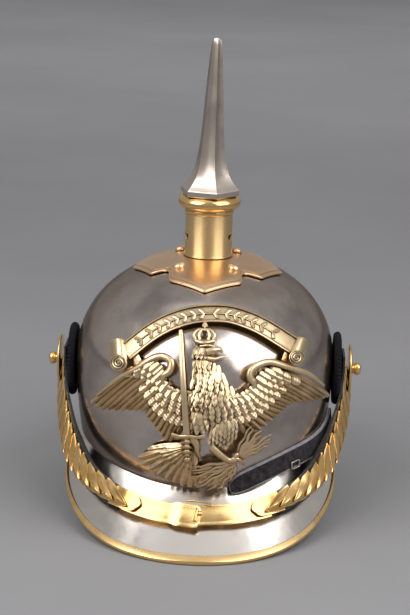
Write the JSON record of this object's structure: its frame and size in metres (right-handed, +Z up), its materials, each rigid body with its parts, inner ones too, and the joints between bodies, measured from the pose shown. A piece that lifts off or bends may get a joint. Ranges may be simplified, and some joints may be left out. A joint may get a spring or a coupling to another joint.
{
  "type": "spiked helmet",
  "caption": "Polished steel cavalry helmet with a fluted spike, eagle badge and scroll, brass chinscales, lobster-tail neck guard and brass edging.",
  "frame": {"origin": "centre of the object's box in plan, on the surface that it stands on", "axes": "+Z up along the spike, the front with the visor and badge faces -Y, +X is the viewer's right"},
  "size_m": [0.233, 0.3, 0.3391],
  "materials": {
    "polished_steel": "polished",
    "satin_brass": "satin",
    "bright_brass": "polished",
    "rosy_brass": "polished",
    "warm_nickel": "satin",
    "antique_brass": "antique satin",
    "black_silk": "matte",
    "black_leather": "satin",
    "grey_suede": "matte"
  },
  "bodies": {
    "root": {"base_stud_1": "rosy_brass", "base_stud_2": "rosy_brass", "base_stud_3": "rosy_brass", "base_stud_4": "rosy_brass", "chin_end_left": "bright_brass", "chin_end_right": "bright_brass", "chin_leather_left": "black_leather", "chin_leather_right": "black_leather", "chin_plate_left": "bright_brass", "chin_plate_right": "bright_brass", "chinscale_left_01": "bright_brass", "chinscale_left_02": "bright_brass", "chinscale_left_03": "bright_brass", "chinscale_left_04": "bright_brass", "chinscale_left_05": "bright_brass", "chinscale_left_06": "bright_brass", "chinscale_left_07": "bright_brass", "chinscale_left_08": "bright_brass", "chinscale_left_09": "bright_brass", "chinscale_left_10": "bright_brass", "chinscale_left_11": "bright_brass", "chinscale_left_12": "bright_brass", "chinscale_left_13": "bright_brass", "chinscale_right_01": "bright_brass", "chinscale_right_02": "bright_brass", "chinscale_right_03": "bright_brass", "chinscale_right_04": "bright_brass", "chinscale_right_05": "bright_brass", "chinscale_right_06": "bright_brass", "chinscale_right_07": "bright_brass", "chinscale_right_08": "bright_brass", "chinscale_right_09": "bright_brass", "chinscale_right_10": "bright_brass", "chinscale_right_11": "bright_brass", "chinscale_right_12": "bright_brass", "chinscale_right_13": "bright_brass", "cockade_left": "black_silk", "cockade_right": "black_silk", "cross_base": "rosy_brass", "eagle_badge": "antique_brass", "front_visor": "polished_steel", "knob_left": "bright_brass", "knob_right": "bright_brass", "loose_strap": "grey_suede", "neck_guard_trim": "satin_brass", "neck_lame_1": "polished_steel", "neck_lame_2": "polished_steel", "neck_lame_3": "polished_steel", "neck_tube": "satin_brass", "rosette_left": "bright_brass", "rosette_right": "bright_brass", "scroll_banner": "antique_brass", "skull": "polished_steel", "spike": "warm_nickel", "spike_collar": "bright_brass", "strap_buckle": "warm_nickel", "visor_trim": "satin_brass"}
  },
  "joints": []
}
